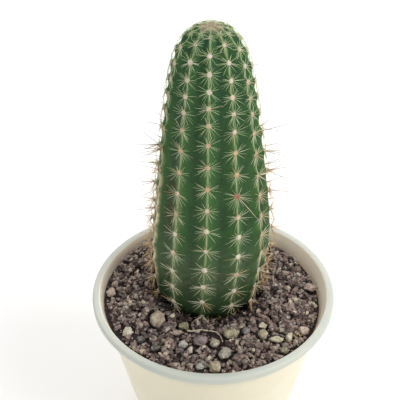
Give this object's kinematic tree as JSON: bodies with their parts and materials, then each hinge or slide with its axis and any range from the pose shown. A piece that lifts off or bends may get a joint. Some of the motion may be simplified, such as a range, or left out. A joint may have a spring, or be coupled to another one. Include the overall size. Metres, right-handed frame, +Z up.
{
  "type": "potted cactus",
  "caption": "Tall ribbed columnar cactus with felted areoles and fine spines, growing in gritty soil with loose stones in a round tapered plastic pot with a rolled rim",
  "frame": {"origin": "centre of the underside of the pot's foot ring, on the surface that the pot stands on", "axes": "+Z up along the pot's axis, from the foot to the crown of the stem; -Y is the side that faces the viewer in the picture, +X to that viewer's right"},
  "size_m": [0.14, 0.14, 0.2761],
  "materials": {
    "pot": "satin",
    "soil": "matte",
    "stem": "satin",
    "rootlet": "matte",
    "mauve_stone": "matte",
    "grey_stone": "matte",
    "cream_stone": "matte",
    "pink_stone": "matte",
    "olive_stone": "matte"
  },
  "bodies": {
    "root": {"pot": "pot", "soil": "soil", "cactus": "stem", "rootlet": "rootlet", "stone_block": "pink_stone", "stone_flat": "pink_stone", "stone_pink": "pink_stone", "stone_slab": "pink_stone", "stone_wall": "pink_stone", "stone_edge": "pink_stone", "stone_back_c": "pink_stone", "stone_left": "cream_stone", "stone_mid": "cream_stone", "stone_thin": "cream_stone", "stone_front": "cream_stone", "stone_right": "cream_stone", "stone_beside": "cream_stone", "stone_long": "cream_stone", "stone_upright": "cream_stone", "stone_back_b": "cream_stone", "stone_olive": "olive_stone", "stone_rough": "olive_stone", "stone_yellow": "olive_stone", "stone_mauve": "mauve_stone", "stone_brown": "mauve_stone", "stone_side": "mauve_stone", "stone_back_a": "mauve_stone", "stone_pale": "grey_stone", "stone_clod": "grey_stone", "stone_white": "grey_stone", "stone_blue": "grey_stone", "stone_slate": "grey_stone", "stone_back_d": "grey_stone"}
  },
  "joints": []
}
